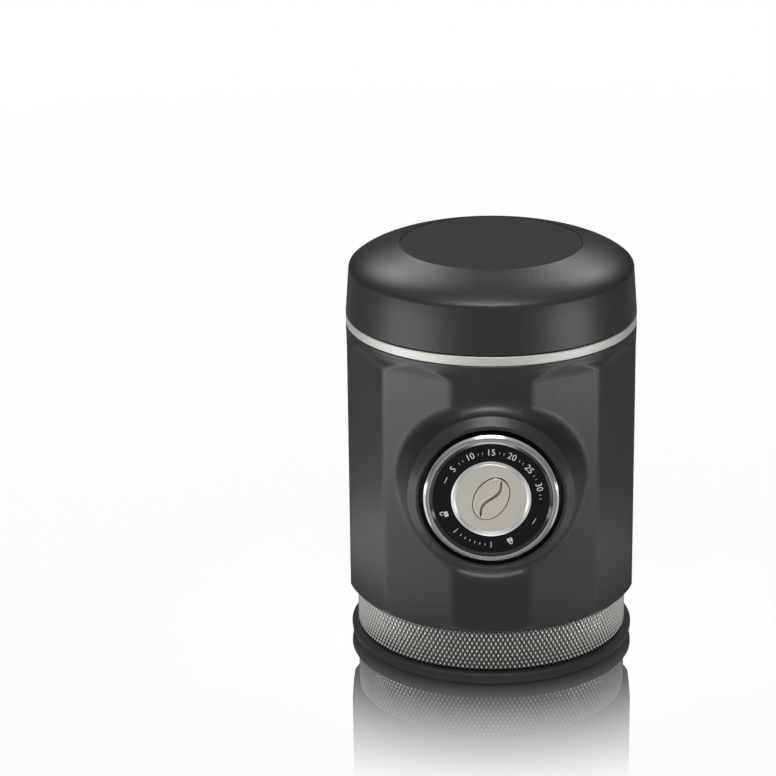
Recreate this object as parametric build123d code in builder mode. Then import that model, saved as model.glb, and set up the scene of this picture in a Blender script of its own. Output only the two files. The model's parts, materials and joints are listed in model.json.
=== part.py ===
"""Handheld manual espresso maker: faceted housing, thumb pump, water tank, portafilter and tools.

Millimetres, +Z up.  The origin is on the body's axis at the plane that it stands on, and the
thumb pump looks along -Y.  The body grows outwards from the filter basket and upwards from the
foot, so each radius and height is worked out from the piece inside or below it.
"""
import os
from math import atan, cos, pi, radians, tan

from build123d import *

# ---------------------------------------------------------------- driving dimensions
# Clearances
part_gap = 0.3  # between pieces that move against each other
seat_gap = 0.1  # under a face that rests on another moving piece
fit_gap = 0.1  # around a fixed piece in its bore
guide_gap = 0.06  # around a sliding or turning round piece
chamfer_size = 0.4

# Filter basket, 52 mm class
basket_bore = 26.0
basket_wall = 0.5
basket_depth = 20.0
basket_floor = 0.6
basket_corner = 1.5
rim_overhang = 2.5
rim_thickness = 0.8
basket_hole = 0.65
basket_rows = 3

# Tamper and distribution tool, nested in the basket
tamper_thickness = 4.0
tamper_handle_height = 11.0
tamper_handle_radius = 19.5
tamper_waist_radius = 14.5
tamper_land = 1.0
tamper_taper = 1.8
needle_well_radius = 8.4
tool_knob_radius = 13.0
tool_knob_height = 3.5
tool_plug_height = 1.8
needle_radius = 0.3
needle_length = 11.0
needle_circle_radius = 5.0
needle_count = 5

# Dosing funnel, stored upside down as the foot
foot_height = 3.4
foot_overhang = 0.1
foot_rim_width = 1.7
foot_edge = 1.1
foot_skirt = 2.8
foot_gap = 0.4
funnel_neck_height = 7.6
funnel_cone_height = 2.8
funnel_wall = 1.5
funnel_clearance = 0.4
seal_wire = 0.9

# Portafilter with knurled grip
grip_height = 10.2
grip_setback = 1.5
grip_chamfer = 0.5
neck_wall = 1.3
lug_depth = 1.5
lug_height = 2.4
lug_rise = 3.5
lug_count = 3
lug_angle = 38.0
ledge_angle = 64.0
ledge_height = 3.0

# Housing
facet_count = 12
facet_rounding = 5.0
shell_wall = 2.4
bayonet_wall = 1.1
lip_height = 2.2
lip_relief = 0.5
bottom_rounding = 2.6
bottom_inset = 0.7
bottom_flare = 1.4
collar_step = 0.5
collar_height = 1.0
collar_flat = 1.0
facet_runout = 3.6
runout_steps = 4
collar_rise = 14.2

# Boss round the pump button
boss_rise = 5.6
boss_rim_width = 0.75
boss_chamfer = 2.0
boss_groove = 1.2
boss_draft = 0.25
boss_blend = 5.0
boss_blend_share = 0.95
boss_root = 14.0

# Pump button
button_radius = 16.2
button_wall = 1.5
button_plate = 2.0
button_proud = 0.9
button_inlay_depth = 1.5
bezel_overhang = 0.2
bezel_width = 2.2
dial_width = 4.5
badge_ring_width = 1.05
button_travel = 20.0
button_twist = 45.0
engaged_length = 8.0
stop_lug_height = 0.6
stop_lug_length = 2.0
stop_lug_angle = 14.0
stop_lug_count = 2
stop_slot_spare_angle = 4.0
clip_width = 1.7
clip_thickness = 1.0

# Pump
bush_wall = 1.0
bush_length = 18.0
bush_setback = 3.6
spring_wire = 1.2
spring_clearance = 0.3
spring_turns = 5.0
spring_plate_thickness = 1.2
rod_radius = 2.5
piston_bore = 6.0
piston_length = 5.0
piston_end_gap = 0.8
seal_width = 1.6
seal_depth = 1.2
cylinder_wall = 3.0
cylinder_spare = 2.2
cylinder_cap_thickness = 2.0
cylinder_spigot = 2.0
cylinder_flange_margin = 0.8
cylinder_flange_thickness = 3.0
cylinder_end_y = 18.0

# Valve block and water ways
block_wall = 2.4
block_end = 8.0
block_ear_reach = 8.0
block_ear_thickness = 3.0
block_ear_height = 8.0
valve_pocket_radius = 3.0
valve_pocket_depth = 5.0
valve_flange = 1.0
valve_bill_length = 2.8
port_radius = 1.6
tube_wall = 1.2

# Screws
screw_radius = 1.25
screw_head_radius = 2.2
screw_head_height = 1.6
screw_grip = 6.0
head_screw_circle_radius = 20.0
head_screw_count = 4

# Brew head and chassis
gasket_height = 3.0
gasket_width = 3.4
brew_plate_thickness = 4.6
brew_skirt_height = 2.6
chamber_depth = 1.8
screen_thickness = 0.8
screen_rest = 2.4
screen_hole = 0.9
screen_rows = 2
screen_screw_radius = 3.0
chassis_plate = 2.0
chassis_boss_wall = 1.5
chassis_boss_height = 4.0
bulkhead_y = 6.0
bulkhead_thickness = 3.0
rib_offset = 21.5
rib_thickness = 2.0
rib_reach = 14.0

# Tank, trim ring and lid
tank_clearance = 0.4
tank_wall = 1.6
tank_floor = 1.5
tank_depth = 24.8
spigot_wall = 1.0
spigot_height = 1.05
ring_height = 2.4
ring_chamfer = 0.2
lid_wall = 2.5
lid_draft = 0.85
lid_corner = 1.6
lid_corner_drop = 0.3
lid_crown = 5.4
lid_crown_slope = 0.29
lid_edge_slope = 1.0
lid_roof = 2.4
lid_lug_gap = 0.4
lid_lug_depth = 1.2
lid_lug_height = 1.7
lid_lug_rise = 0.9
lid_lug_angle = 40.0
tank_lug_angle = 50.0
lid_gasket_height = 1.7
lid_gasket_width = 3.2
gasket_rib_width = 1.4
gasket_rib_height = 1.1
lid_pad_radius = 22.7
lid_pad_thickness = 1.0
lid_pad_gap = 0.12
vent_radius = 0.8
vent_groove_width = 2.0

# ---------------------------------------------------------------- radii, from the basket outwards
basket_outer = basket_bore + basket_wall
rim_radius = basket_outer + rim_overhang
neck_bore = basket_outer + funnel_clearance + funnel_wall + fit_gap + part_gap
rim_seat_radius = rim_radius + part_gap
neck_radius = rim_seat_radius + neck_wall
lug_radius = neck_radius + lug_depth
bayonet_bore = lug_radius + part_gap
bayonet_radius = bayonet_bore + bayonet_wall
ledge_bore = neck_radius + part_gap
lip_bore = lug_radius + lip_relief
shell_bore = bayonet_radius + fit_gap
facet_apothem = shell_bore + shell_wall
grip_radius = facet_apothem - grip_setback
foot_radius = facet_apothem + foot_overhang
collar_radius = facet_apothem + collar_step
spigot_radius = shell_bore + spigot_wall
ring_bore = spigot_radius + fit_gap
fixed_radius = shell_bore - fit_gap

# ---------------------------------------------------------------- heights, from the foot upwards
grip_bottom = foot_height + foot_gap
grip_top = grip_bottom + grip_height
body_bottom = grip_top + part_gap
ledge_bottom = body_bottom + lip_height
ledge_top = ledge_bottom + ledge_height
lug_bottom = ledge_top + part_gap
neck_top = lug_bottom + lug_height + lug_rise
basket_inside = neck_top - basket_depth
basket_bottom = basket_inside - basket_floor
gasket_bottom = neck_top + seat_gap
plate_bottom = gasket_bottom + gasket_height
skirt_bottom = plate_bottom - brew_skirt_height
chassis_bottom = plate_bottom + brew_plate_thickness
chassis_top = chassis_bottom + chassis_plate
bush_bore = button_radius + guide_gap
bush_radius = bush_bore + bush_wall
button_z = chassis_top + part_gap + bush_radius
tank_bottom = button_z + bush_radius + tank_clearance
tank_inside = tank_bottom + tank_floor
tank_rim = tank_inside + tank_depth
collar_top = tank_bottom + collar_rise
collar_bottom = collar_top - collar_height
facet_top = collar_bottom - facet_runout
spigot_top = collar_top + spigot_height
ring_top = collar_top + ring_height
lid_bottom = ring_top + part_gap
lid_gasket_bottom = tank_rim + part_gap
lid_land = lid_gasket_bottom + lid_gasket_height + part_gap
lid_corner_z = lid_land + lid_corner_drop
total_height = lid_corner_z + lid_crown

# ---------------------------------------------------------------- reaches along the pump, forwards
boss_front = facet_apothem + boss_rise
button_front = boss_front + button_proud
plate_front = button_front - button_inlay_depth
plate_back = plate_front - button_plate
bush_front = boss_front - bush_setback
bush_back = bush_front - bush_length
sleeve_back = bush_front - button_travel - engaged_length
sleeve_bore = button_radius - button_wall
bezel_radius = button_radius + bezel_overhang
dial_radius = bezel_radius - bezel_width
badge_ring_radius = dial_radius - dial_width
badge_radius = badge_ring_radius - badge_ring_width
groove_radius = bezel_radius + boss_groove
cylinder_radius = piston_bore + cylinder_wall
clip_bore = sleeve_bore - clip_width
spring_radius = clip_bore - spring_clearance - spring_wire / 2
cylinder_flange_radius = spring_radius + spring_wire / 2 + cylinder_flange_margin
piston_back = -cylinder_end_y + piston_end_gap
piston_front = piston_back + piston_length
cylinder_front = piston_front + button_travel + cylinder_spare
spring_seat = -bulkhead_y + cylinder_flange_thickness
spring_plate_front = plate_back - part_gap
spring_plate_back = spring_plate_front - spring_plate_thickness
block_radius = cylinder_radius + fit_gap + block_wall
block_back = -cylinder_end_y - block_end
bulkhead_back = -bulkhead_y - bulkhead_thickness
port_y = cylinder_end_y + block_end / 2
valve_boss_radius = valve_pocket_radius + block_wall / 2
valve_top = button_z + block_radius + block_wall / 2
valve_bottom = button_z - block_radius - block_wall / 2

# ---------------------------------------------------------------- working planes and shared shapes
pump_axis = Axis((0, 0, button_z), (0, -1, 0))
pump_front = Plane(origin=(0, 0, button_z), x_dir=(1, 0, 0), z_dir=(0, -1, 0))
pump_section = Plane(origin=(0, 0, button_z), x_dir=(0, -1, 0), z_dir=(-1, 0, 0))
lug_spacing = 360 / lug_count


def sector(inner, outer, angle):
    """Sketch of an annular sector about the origin, centred on the sketch's +X."""
    with BuildSketch() as piece:
        with BuildLine():
            far = CenterArc((0, 0), outer, -angle / 2, angle)
            near = CenterArc((0, 0), inner, -angle / 2, angle)
            Line(far @ 0, near @ 0)
            Line(far @ 1, near @ 1)
        make_face()
    return piece.sketch


def facet_outline(apothem, rounding):
    """Sketch of the housing's polygon with rounded edges."""
    with BuildSketch() as outline:
        RegularPolygon(apothem, facet_count, major_radius=False, rotation=180 / facet_count)
        fillet(outline.vertices(), rounding)
    return outline.sketch


pieces = {}

# ---------------------------------------------------------------- dosing funnel and its seal
funnel_neck_radius = basket_outer + funnel_clearance + funnel_wall
funnel_neck_bore = basket_outer + funnel_clearance
funnel_top = foot_height + funnel_neck_height
seal_z = funnel_top - 2 * seal_wire

with BuildPart() as dosing_funnel:
    with BuildSketch(Plane.XZ):
        with BuildLine():
            rim = Line((foot_radius - foot_edge - foot_rim_width, 0), (foot_radius - foot_edge, 0))
            skirt = Spline(rim @ 1, (foot_radius, foot_skirt), tangents=((1, 1), (0, 1)))
            Polyline(
                skirt @ 1,
                (foot_radius, foot_height - chamfer_size),
                (foot_radius - chamfer_size, foot_height),
                (funnel_neck_radius, foot_height),
                (funnel_neck_radius, funnel_top),
                (funnel_neck_bore, funnel_top),
                (funnel_neck_bore, funnel_cone_height),
                rim @ 0,
            )
        make_face()
    revolve(axis=Axis.Z)
    with BuildSketch(Plane.XZ):
        with Locations((funnel_neck_radius, seal_z)):
            Rectangle(seal_wire, 2 * seal_wire)
    revolve(axis=Axis.Z, mode=Mode.SUBTRACT)
pieces["dosing_funnel"] = dosing_funnel

with BuildPart() as funnel_seal:
    with BuildSketch(Plane.XZ):
        with Locations((funnel_neck_radius - seal_wire / 2 + (seal_wire / 2 + fit_gap) / 2, seal_z)):
            RectangleRounded(seal_wire / 2 + fit_gap, 2 * seal_wire, seal_wire / 5)
    revolve(axis=Axis.Z)
pieces["funnel_seal"] = funnel_seal

# ---------------------------------------------------------------- portafilter ring with grip
with BuildPart() as portafilter_ring:
    with BuildSketch(Plane.XZ):
        Polygon(
            (neck_bore, grip_bottom),
            (grip_radius - grip_chamfer, grip_bottom),
            (grip_radius, grip_bottom + grip_chamfer),
            (grip_radius, grip_top - grip_chamfer),
            (grip_radius - grip_chamfer, grip_top),
            (neck_radius, grip_top),
            (neck_radius, neck_top - chamfer_size),
            (neck_radius - chamfer_size, neck_top),
            (rim_seat_radius, neck_top),
            (rim_seat_radius, neck_top - rim_thickness - seat_gap),
            (basket_outer + part_gap, neck_top - rim_thickness - seat_gap),
            (basket_outer + part_gap, funnel_top + 3 * part_gap),
            (neck_bore, funnel_top + part_gap),
            align=None,
        )
    revolve(axis=Axis.Z)
    with BuildSketch(Plane.XY.offset(lug_bottom)):
        with PolarLocations(0, lug_count, start_angle=-90):
            add(sector(neck_radius - neck_wall / 2, lug_radius, lug_angle))
    extrude(amount=lug_height)
pieces["portafilter_ring"] = portafilter_ring

# ---------------------------------------------------------------- filter basket
hole_pitch = (basket_bore - basket_corner) / (basket_rows + 1)

with BuildPart() as filter_basket:
    with BuildSketch(Plane.XZ):
        Polygon(
            (0, basket_bottom),
            (basket_outer - basket_corner, basket_bottom),
            (basket_outer, basket_bottom + basket_corner),
            (basket_outer, neck_top - rim_thickness),
            (rim_radius, neck_top - rim_thickness),
            (rim_radius, neck_top),
            (basket_bore, neck_top),
            (basket_bore, basket_inside + basket_corner),
            (basket_bore - basket_corner, basket_inside),
            (0, basket_inside),
            align=None,
        )
    revolve(axis=Axis.Z)
    with BuildSketch(Plane.XY.offset(basket_bottom)):
        RegularPolygon(basket_hole, 6)
        for row in range(1, basket_rows + 1):
            with PolarLocations(row * hole_pitch, 6 * row):
                RegularPolygon(basket_hole, 6)
    extrude(amount=basket_floor, mode=Mode.SUBTRACT)
pieces["filter_basket"] = filter_basket

# ---------------------------------------------------------------- tamper
tamper_radius = basket_bore - part_gap
tamper_bottom = basket_inside + part_gap
tamper_top = tamper_bottom + tamper_thickness
handle_top = tamper_top + tamper_handle_height
well_floor = tamper_bottom + tamper_thickness / 4

with BuildPart() as tamper_base:
    with BuildSketch(Plane.XZ):
        Polygon(
            (0, tamper_bottom),
            (tamper_radius - basket_corner, tamper_bottom),
            (tamper_radius, tamper_bottom + basket_corner),
            (tamper_radius, tamper_top - chamfer_size),
            (tamper_radius - chamfer_size, tamper_top),
            (needle_well_radius, tamper_top),
            (needle_well_radius, well_floor),
            (0, well_floor),
            align=None,
        )
    revolve(axis=Axis.Z)
pieces["tamper_base"] = tamper_base

with BuildPart() as tamper_handle:
    with BuildSketch(Plane.XZ):
        with BuildLine():
            land = Line((tamper_handle_radius, tamper_top), (tamper_handle_radius, tamper_top + tamper_land))
            waist = ThreePointArc(
                land @ 1,
                (tamper_waist_radius, tamper_top + tamper_handle_height / 2),
                (tamper_handle_radius - tamper_taper, handle_top - tamper_land),
            )
            Polyline(
                waist @ 1,
                (tamper_handle_radius - tamper_taper, handle_top),
                (needle_well_radius, handle_top),
                (needle_well_radius, tamper_top),
                land @ 0,
            )
        make_face()
    revolve(axis=Axis.Z)
pieces["tamper_handle"] = tamper_handle

# ---------------------------------------------------------------- distribution tool
knob_bottom = handle_top + part_gap
knob_top = knob_bottom + tool_knob_height
plug_bottom = knob_bottom - tool_plug_height

with BuildPart() as tool_knob:
    with BuildSketch(Plane.XY.offset(plug_bottom)):
        Circle(needle_well_radius - part_gap)
    extrude(amount=tool_plug_height + part_gap)
    with BuildSketch(Plane.XY.offset(knob_bottom)):
        Circle(tool_knob_radius)
    extrude(amount=tool_knob_height)
    fillet(tool_knob.edges().group_by(Axis.Z)[-1], tool_knob_height / 3)
pieces["tool_knob"] = tool_knob

with BuildPart() as needles:
    with BuildSketch(Plane.XY.offset(plug_bottom)):
        with PolarLocations(needle_circle_radius, needle_count):
            Circle(needle_radius)
    extrude(amount=-needle_length)
pieces["needles"] = needles

# ---------------------------------------------------------------- bayonet ring
with BuildPart() as bayonet_ring:
    with BuildSketch(Plane.XY.offset(ledge_bottom)):
        Circle(bayonet_radius)
        Circle(bayonet_bore, mode=Mode.SUBTRACT)
    extrude(amount=skirt_bottom - ledge_bottom)
    with BuildSketch(Plane.XY.offset(ledge_bottom)):
        with PolarLocations(0, lug_count, start_angle=-90 + lug_spacing / 2):
            add(sector(ledge_bore, bayonet_bore + bayonet_wall / 2, ledge_angle))
    extrude(amount=ledge_height)
pieces["bayonet_ring"] = bayonet_ring

# ---------------------------------------------------------------- brew head, gasket, shower screen
gasket_bore = rim_radius - gasket_width
gasket_radius = rim_radius + part_gap
screen_radius = gasket_bore - fit_gap
chamber_radius = screen_radius - screen_rest
screen_bottom = plate_bottom - screen_thickness
head_screw_start = plate_bottom + chamber_depth
head_screw_recess = head_screw_start + screw_head_height

with BuildPart() as brew_head:
    with BuildSketch(Plane.XY.offset(plate_bottom)):
        Circle(fixed_radius)
    extrude(amount=brew_plate_thickness)
    with BuildSketch(Plane.XY.offset(skirt_bottom)):
        Circle(fixed_radius)
        Circle(gasket_radius, mode=Mode.SUBTRACT)
    extrude(amount=brew_skirt_height)
    with BuildSketch(Plane.XY.offset(plate_bottom)):
        Circle(chamber_radius)
    extrude(amount=chamber_depth, mode=Mode.SUBTRACT)
    with BuildSketch(Plane.XY.offset(head_screw_start)):
        Circle(screw_radius)
        with Locations((0, port_y)):
            Circle(port_radius)
        with PolarLocations(head_screw_circle_radius, head_screw_count, start_angle=45):
            Circle(screw_radius + guide_gap)
    extrude(amount=brew_plate_thickness - chamber_depth, mode=Mode.SUBTRACT)
    with BuildSketch(Plane.XY.offset(head_screw_start)):
        with PolarLocations(head_screw_circle_radius, head_screw_count, start_angle=45):
            Circle(screw_head_radius + guide_gap)
    extrude(amount=screw_head_height, mode=Mode.SUBTRACT)
pieces["brew_head"] = brew_head

with BuildPart() as head_gasket:
    with BuildSketch(Plane.XZ):
        Polygon(
            (gasket_bore, gasket_bottom + chamfer_size),
            (gasket_bore + chamfer_size, gasket_bottom),
            (gasket_radius - chamfer_size, gasket_bottom),
            (gasket_radius, gasket_bottom + chamfer_size),
            (gasket_radius, plate_bottom),
            (gasket_bore, plate_bottom),
            align=None,
        )
    revolve(axis=Axis.Z)
pieces["head_gasket"] = head_gasket

screen_pitch = (chamber_radius - screen_screw_radius) / (screen_rows + 0.5)

with BuildPart() as shower_screen:
    with BuildSketch(Plane.XY.offset(screen_bottom)):
        Circle(screen_radius)
        Circle(screw_radius + guide_gap, mode=Mode.SUBTRACT)
        for row in range(1, screen_rows + 1):
            with PolarLocations(screen_screw_radius + row * screen_pitch, 6 * (row + 1)):
                RegularPolygon(screen_hole, 6, mode=Mode.SUBTRACT)
    extrude(amount=screen_thickness)
pieces["shower_screen"] = shower_screen

with BuildPart() as screen_screw:
    with BuildSketch(Plane.XY.offset(screen_bottom - screw_head_height / 2)):
        Circle(screen_screw_radius)
    extrude(amount=screw_head_height / 2)
    with BuildSketch(Plane.XY.offset(screen_bottom)):
        Circle(screw_radius)
    extrude(amount=chassis_bottom - screen_bottom)
pieces["screen_screw"] = screen_screw

with BuildPart() as head_screws:
    with BuildSketch(Plane.XY.offset(head_screw_start)):
        with PolarLocations(head_screw_circle_radius, head_screw_count, start_angle=45):
            Circle(screw_head_radius)
    extrude(amount=screw_head_height)
    with BuildSketch(Plane.XY.offset(head_screw_recess)):
        with PolarLocations(head_screw_circle_radius, head_screw_count, start_angle=45):
            Circle(screw_radius)
    extrude(amount=chassis_top - head_screw_recess + chassis_boss_height / 2)
pieces["head_screws"] = head_screws

# ---------------------------------------------------------------- chassis that carries the pump
with BuildPart() as chassis:
    with BuildSketch(Plane.XY.offset(chassis_bottom)):
        Circle(fixed_radius)
        with Locations((0, port_y)):
            Circle(port_radius + tube_wall, mode=Mode.SUBTRACT)
    extrude(amount=chassis_plate)
    with BuildSketch(Plane.XY.offset(chassis_top)):
        with Locations((0, bulkhead_y + bulkhead_thickness / 2)):
            Rectangle(2 * fixed_radius, bulkhead_thickness)
        with Locations((rib_offset, bulkhead_y - rib_reach / 2), (-rib_offset, bulkhead_y - rib_reach / 2)):
            Rectangle(rib_thickness, rib_reach)
        Circle(fixed_radius, mode=Mode.INTERSECT)
    extrude(amount=tank_bottom - chassis_top)
    with BuildSketch(Plane.XY.offset(chassis_top)):
        with PolarLocations(head_screw_circle_radius, head_screw_count, start_angle=45):
            Circle(screw_radius + chassis_boss_wall)
    extrude(amount=chassis_boss_height)
    with BuildSketch(Plane.XY.offset(chassis_bottom)):
        with PolarLocations(head_screw_circle_radius, head_screw_count, start_angle=45):
            Circle(screw_radius + guide_gap)
    extrude(amount=chassis_plate + chassis_boss_height, mode=Mode.SUBTRACT)
    with BuildSketch(pump_front.offset(bulkhead_back)):
        Circle(cylinder_radius + guide_gap)
        with Locations((block_radius + block_ear_reach / 2, 0), (-block_radius - block_ear_reach / 2, 0)):
            Circle(screw_radius + guide_gap)
    extrude(amount=bulkhead_thickness, mode=Mode.SUBTRACT)
pieces["chassis"] = chassis

# ---------------------------------------------------------------- pump cylinder and its front cap
with BuildPart() as pump_cylinder:
    with BuildSketch(pump_front.offset(-cylinder_end_y)):
        Circle(cylinder_radius)
    extrude(amount=cylinder_end_y + cylinder_front)
    with BuildSketch(pump_front.offset(-bulkhead_y)):
        Circle(cylinder_flange_radius)
    extrude(amount=cylinder_flange_thickness)
    with BuildSketch(pump_front.offset(-cylinder_end_y)):
        Circle(piston_bore)
    extrude(amount=cylinder_end_y + cylinder_front, mode=Mode.SUBTRACT)
pieces["pump_cylinder"] = pump_cylinder

with BuildPart() as cylinder_cap:
    with BuildSketch(pump_front.offset(cylinder_front)):
        Circle(cylinder_radius)
    extrude(amount=cylinder_cap_thickness)
    with BuildSketch(pump_front.offset(cylinder_front - cylinder_spigot)):
        Circle(piston_bore - guide_gap / 2)
    extrude(amount=cylinder_spigot)
    with BuildSketch(pump_front.offset(cylinder_front - cylinder_spigot)):
        Circle(rod_radius + guide_gap)
    extrude(amount=cylinder_spigot + cylinder_cap_thickness, mode=Mode.SUBTRACT)
    fillet(cylinder_cap.edges().group_by(Axis.Y)[0], chamfer_size)
pieces["cylinder_cap"] = cylinder_cap

# ---------------------------------------------------------------- valve block, valves and tubes
ear_centre = block_radius + block_ear_reach / 2

with BuildPart() as valve_block:
    with BuildSketch(pump_front.offset(block_back)):
        Circle(block_radius)
    extrude(amount=bulkhead_back - block_back)
    with BuildSketch(pump_front.offset(bulkhead_back - block_ear_thickness)):
        SlotCenterToCenter(2 * ear_centre, block_ear_height)
    extrude(amount=block_ear_thickness)
    with BuildSketch(Plane.XY.offset(valve_bottom)):
        with Locations((0, port_y)):
            Circle(valve_boss_radius)
    extrude(amount=valve_top - valve_bottom)
    with BuildSketch(pump_front.offset(-cylinder_end_y)):
        Circle(cylinder_radius + guide_gap)
    extrude(amount=cylinder_end_y + bulkhead_back, mode=Mode.SUBTRACT)
    with BuildSketch(pump_front.offset(-port_y)):
        Circle(port_radius - guide_gap)
    extrude(amount=port_y - cylinder_end_y, mode=Mode.SUBTRACT)
    with BuildSketch(Plane.XY.offset(valve_bottom)):
        with Locations((0, port_y)):
            Circle(port_radius)
    extrude(amount=valve_top - valve_bottom, mode=Mode.SUBTRACT)
    with BuildSketch(Plane.XY.offset(valve_top - valve_pocket_depth)):
        with Locations((0, port_y)):
            Circle(valve_pocket_radius)
    extrude(amount=valve_pocket_depth, mode=Mode.SUBTRACT)
    with BuildSketch(Plane.XY.offset(valve_bottom)):
        with Locations((0, port_y)):
            Circle(valve_pocket_radius)
    extrude(amount=valve_pocket_depth, mode=Mode.SUBTRACT)
    with BuildSketch(pump_front.offset(bulkhead_back - block_ear_thickness)):
        with Locations((ear_centre, 0), (-ear_centre, 0)):
            Circle(screw_radius + guide_gap)
    extrude(amount=block_ear_thickness, mode=Mode.SUBTRACT)
pieces["valve_block"] = valve_block

with BuildPart() as block_screws:
    with BuildSketch(pump_front.offset(bulkhead_back - block_ear_thickness - screw_head_height)):
        with Locations((ear_centre, 0), (-ear_centre, 0)):
            Circle(screw_head_radius)
    extrude(amount=screw_head_height)
    with BuildSketch(pump_front.offset(bulkhead_back - block_ear_thickness)):
        with Locations((ear_centre, 0), (-ear_centre, 0)):
            Circle(screw_radius)
    extrude(amount=screw_grip)
pieces["block_screws"] = block_screws

duckbill_heights = {"inlet_valve": valve_top, "outlet_valve": valve_bottom + valve_pocket_depth}
for valve_name, flange_top in duckbill_heights.items():
    with BuildPart() as duckbill:
        with BuildSketch(Plane.XY.offset(flange_top)):
            with Locations((0, port_y)):
                Circle(valve_pocket_radius - guide_gap)
        extrude(amount=-valve_flange)
        with BuildSketch(Plane.XY.offset(flange_top - valve_flange)):
            with Locations((0, port_y)):
                Circle(port_radius)
        with BuildSketch(Plane.XY.offset(flange_top - valve_flange - valve_bill_length)):
            with Locations((0, port_y)):
                Rectangle(2 * port_radius, port_radius / 4)
        loft()
    pieces[valve_name] = duckbill

tube_radius = port_radius + tube_wall

with BuildPart() as intake_tube:
    with BuildSketch(Plane.XY.offset(valve_top)):
        with Locations((0, port_y)):
            Circle(tube_radius)
            Circle(port_radius, mode=Mode.SUBTRACT)
    extrude(amount=tank_bottom - valve_top)
pieces["intake_tube"] = intake_tube

with BuildPart() as delivery_tube:
    with BuildSketch(Plane.XY.offset(chassis_bottom)):
        with Locations((0, port_y)):
            Circle(tube_radius)
            Circle(port_radius, mode=Mode.SUBTRACT)
    extrude(amount=valve_bottom - chassis_bottom)
pieces["delivery_tube"] = delivery_tube

# ---------------------------------------------------------------- piston, rod and return spring
with BuildPart() as piston_rod:
    with BuildSketch(pump_front.offset(piston_front)):
        Circle(rod_radius)
    extrude(amount=spring_plate_front - piston_front)
    with BuildSketch(pump_front.offset(spring_plate_back)):
        Circle(sleeve_bore - fit_gap - part_gap)
    extrude(amount=spring_plate_thickness)
pieces["piston_rod"] = piston_rod

with BuildPart() as piston_head:
    with BuildSketch(pump_front.offset(piston_back)):
        Circle(piston_bore - guide_gap)
    extrude(amount=piston_length)
    with BuildSketch(pump_front.offset(piston_back + piston_length / 2 - seal_width / 2)):
        Circle(piston_bore)
        Circle(piston_bore - seal_depth, mode=Mode.SUBTRACT)
    extrude(amount=seal_width, mode=Mode.SUBTRACT)
pieces["piston_head"] = piston_head

with BuildPart() as piston_seal:
    with BuildSketch(pump_front.offset(piston_back + piston_length / 2 - seal_width / 2)):
        Circle(piston_bore - guide_gap / 2)
        Circle(piston_bore - seal_depth, mode=Mode.SUBTRACT)
    extrude(amount=seal_width)
    fillet(piston_seal.edges().filter_by(GeomType.CIRCLE).group_by(SortBy.RADIUS)[-1], seal_width / 4)
pieces["piston_seal"] = piston_seal

spring_start = spring_seat + spring_wire / 2 + fit_gap
spring_height = spring_plate_back - spring_wire / 2 - fit_gap - spring_start

with BuildPart() as return_spring:
    with BuildLine() as coil:
        Helix(
            pitch=spring_height / spring_turns,
            height=spring_height,
            radius=spring_radius,
            center=(0, -spring_start, button_z),
            direction=(0, -1, 0),
        )
    with BuildSketch(Plane(origin=coil.line @ 0, z_dir=coil.line % 0)):
        Rectangle(spring_wire, spring_wire)
    sweep(is_frenet=True)
pieces["return_spring"] = return_spring

# ---------------------------------------------------------------- guide bush with stop slots
slot_angle = button_twist + stop_lug_angle + stop_slot_spare_angle
slot_length = sleeve_back + stop_lug_length + button_travel + part_gap - bush_back

with BuildPart() as guide_bush:
    with BuildSketch(pump_front.offset(bush_back)):
        Circle(bush_radius)
        Circle(bush_bore, mode=Mode.SUBTRACT)
    extrude(amount=bush_length)
    with BuildSketch(pump_front.offset(bush_back)):
        with PolarLocations(0, stop_lug_count, start_angle=button_twist / 2):
            add(sector(bush_bore - bush_wall, bush_radius + bush_wall, slot_angle))
    extrude(amount=slot_length, mode=Mode.SUBTRACT)
pieces["guide_bush"] = guide_bush

# ---------------------------------------------------------------- button cap, bezel, dial and badge
with BuildPart() as button_cap:
    with BuildSketch(pump_front.offset(sleeve_back)):
        Circle(button_radius)
    extrude(amount=plate_front - sleeve_back)
    with BuildSketch(pump_front.offset(sleeve_back)):
        Circle(sleeve_bore)
    extrude(amount=plate_back - sleeve_back, mode=Mode.SUBTRACT)
    with BuildSketch(pump_front.offset(sleeve_back)):
        with PolarLocations(0, stop_lug_count):
            add(sector(button_radius - button_wall / 2, button_radius + stop_lug_height, stop_lug_angle))
    extrude(amount=stop_lug_length)
    fillet(button_cap.edges().group_by(Axis.Y)[0], chamfer_size)
pieces["button_cap"] = button_cap

with BuildPart() as retaining_clip:
    with BuildSketch(pump_front.offset(spring_plate_back - part_gap - clip_thickness)):
        Circle(sleeve_bore)
        Circle(clip_bore, mode=Mode.SUBTRACT)
    extrude(amount=clip_thickness)
pieces["retaining_clip"] = retaining_clip

with BuildPart() as button_bezel:
    with BuildSketch(pump_section):
        Polygon(
            (plate_front, dial_radius),
            (button_front - chamfer_size, dial_radius),
            (button_front, dial_radius + bezel_width / 3),
            (button_front, bezel_radius - bezel_width / 4),
            (button_front - bezel_width / 4, bezel_radius),
            (plate_front, bezel_radius),
            align=None,
        )
    revolve(axis=pump_axis)
pieces["button_bezel"] = button_bezel

with BuildPart() as dial_ring:
    with BuildSketch(pump_section):
        Polygon(
            (plate_front, badge_ring_radius),
            (button_front - chamfer_size / 2, badge_ring_radius),
            (button_front - chamfer_size, dial_radius),
            (plate_front, dial_radius),
            align=None,
        )
    revolve(axis=pump_axis)
pieces["dial_ring"] = dial_ring

with BuildPart() as badge_ring:
    with BuildSketch(pump_section):
        Polygon(
            (plate_front, badge_radius),
            (button_front - chamfer_size, badge_radius),
            (button_front, badge_radius + badge_ring_width / 2),
            (button_front - chamfer_size / 2, badge_ring_radius),
            (plate_front, badge_ring_radius),
            align=None,
        )
    revolve(axis=pump_axis)
pieces["badge_ring"] = badge_ring

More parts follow.
